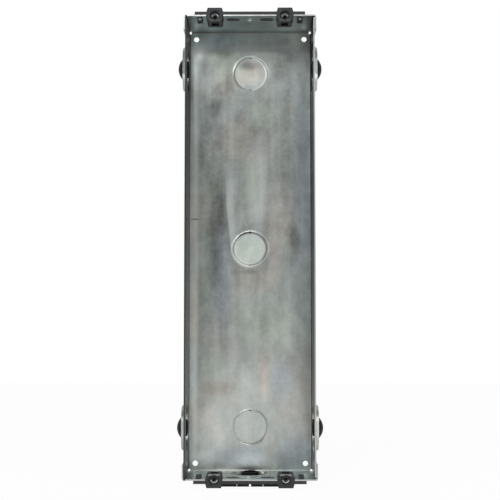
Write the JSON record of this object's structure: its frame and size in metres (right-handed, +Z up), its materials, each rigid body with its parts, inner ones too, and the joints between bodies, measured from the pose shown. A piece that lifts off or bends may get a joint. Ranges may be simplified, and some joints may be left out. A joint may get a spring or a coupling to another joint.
{
  "type": "flush back box",
  "caption": "Tall flush-mounting back box of folded galvanised sheet, with black clip bars holding captive nuts at both ends and domed blind plugs in its walls.",
  "frame": {"origin": "centre of the rear face, midway between the four wall fixing holes", "axes": "+Z up along the height, +Y out of the rear face into the wall, X across the width; the box opens towards -Y"},
  "size_m": [0.1336, 0.05, 0.435],
  "materials": {
    "galvanised_steel": "dull hot-dip zinc, mottled and streaked",
    "clip_plastic": "black moulded plastic, satin",
    "bright_zinc": "bright zinc plate",
    "plug_rubber": "black, smooth"
  },
  "bodies": {
    "root": {"steel_box": "galvanised_steel", "top_clip_bar": "clip_plastic", "bottom_clip_bar": "clip_plastic", "top_left_nut": "bright_zinc", "top_right_nut": "bright_zinc", "bottom_left_nut": "bright_zinc", "bottom_right_nut": "bright_zinc", "top_bar_rivet": "bright_zinc", "bottom_bar_rivet": "bright_zinc", "upper_left_plug": "plug_rubber", "upper_right_plug": "plug_rubber", "lower_left_plug": "plug_rubber", "lower_right_plug": "plug_rubber", "bottom_entry_plug": "plug_rubber"}
  },
  "joints": []
}
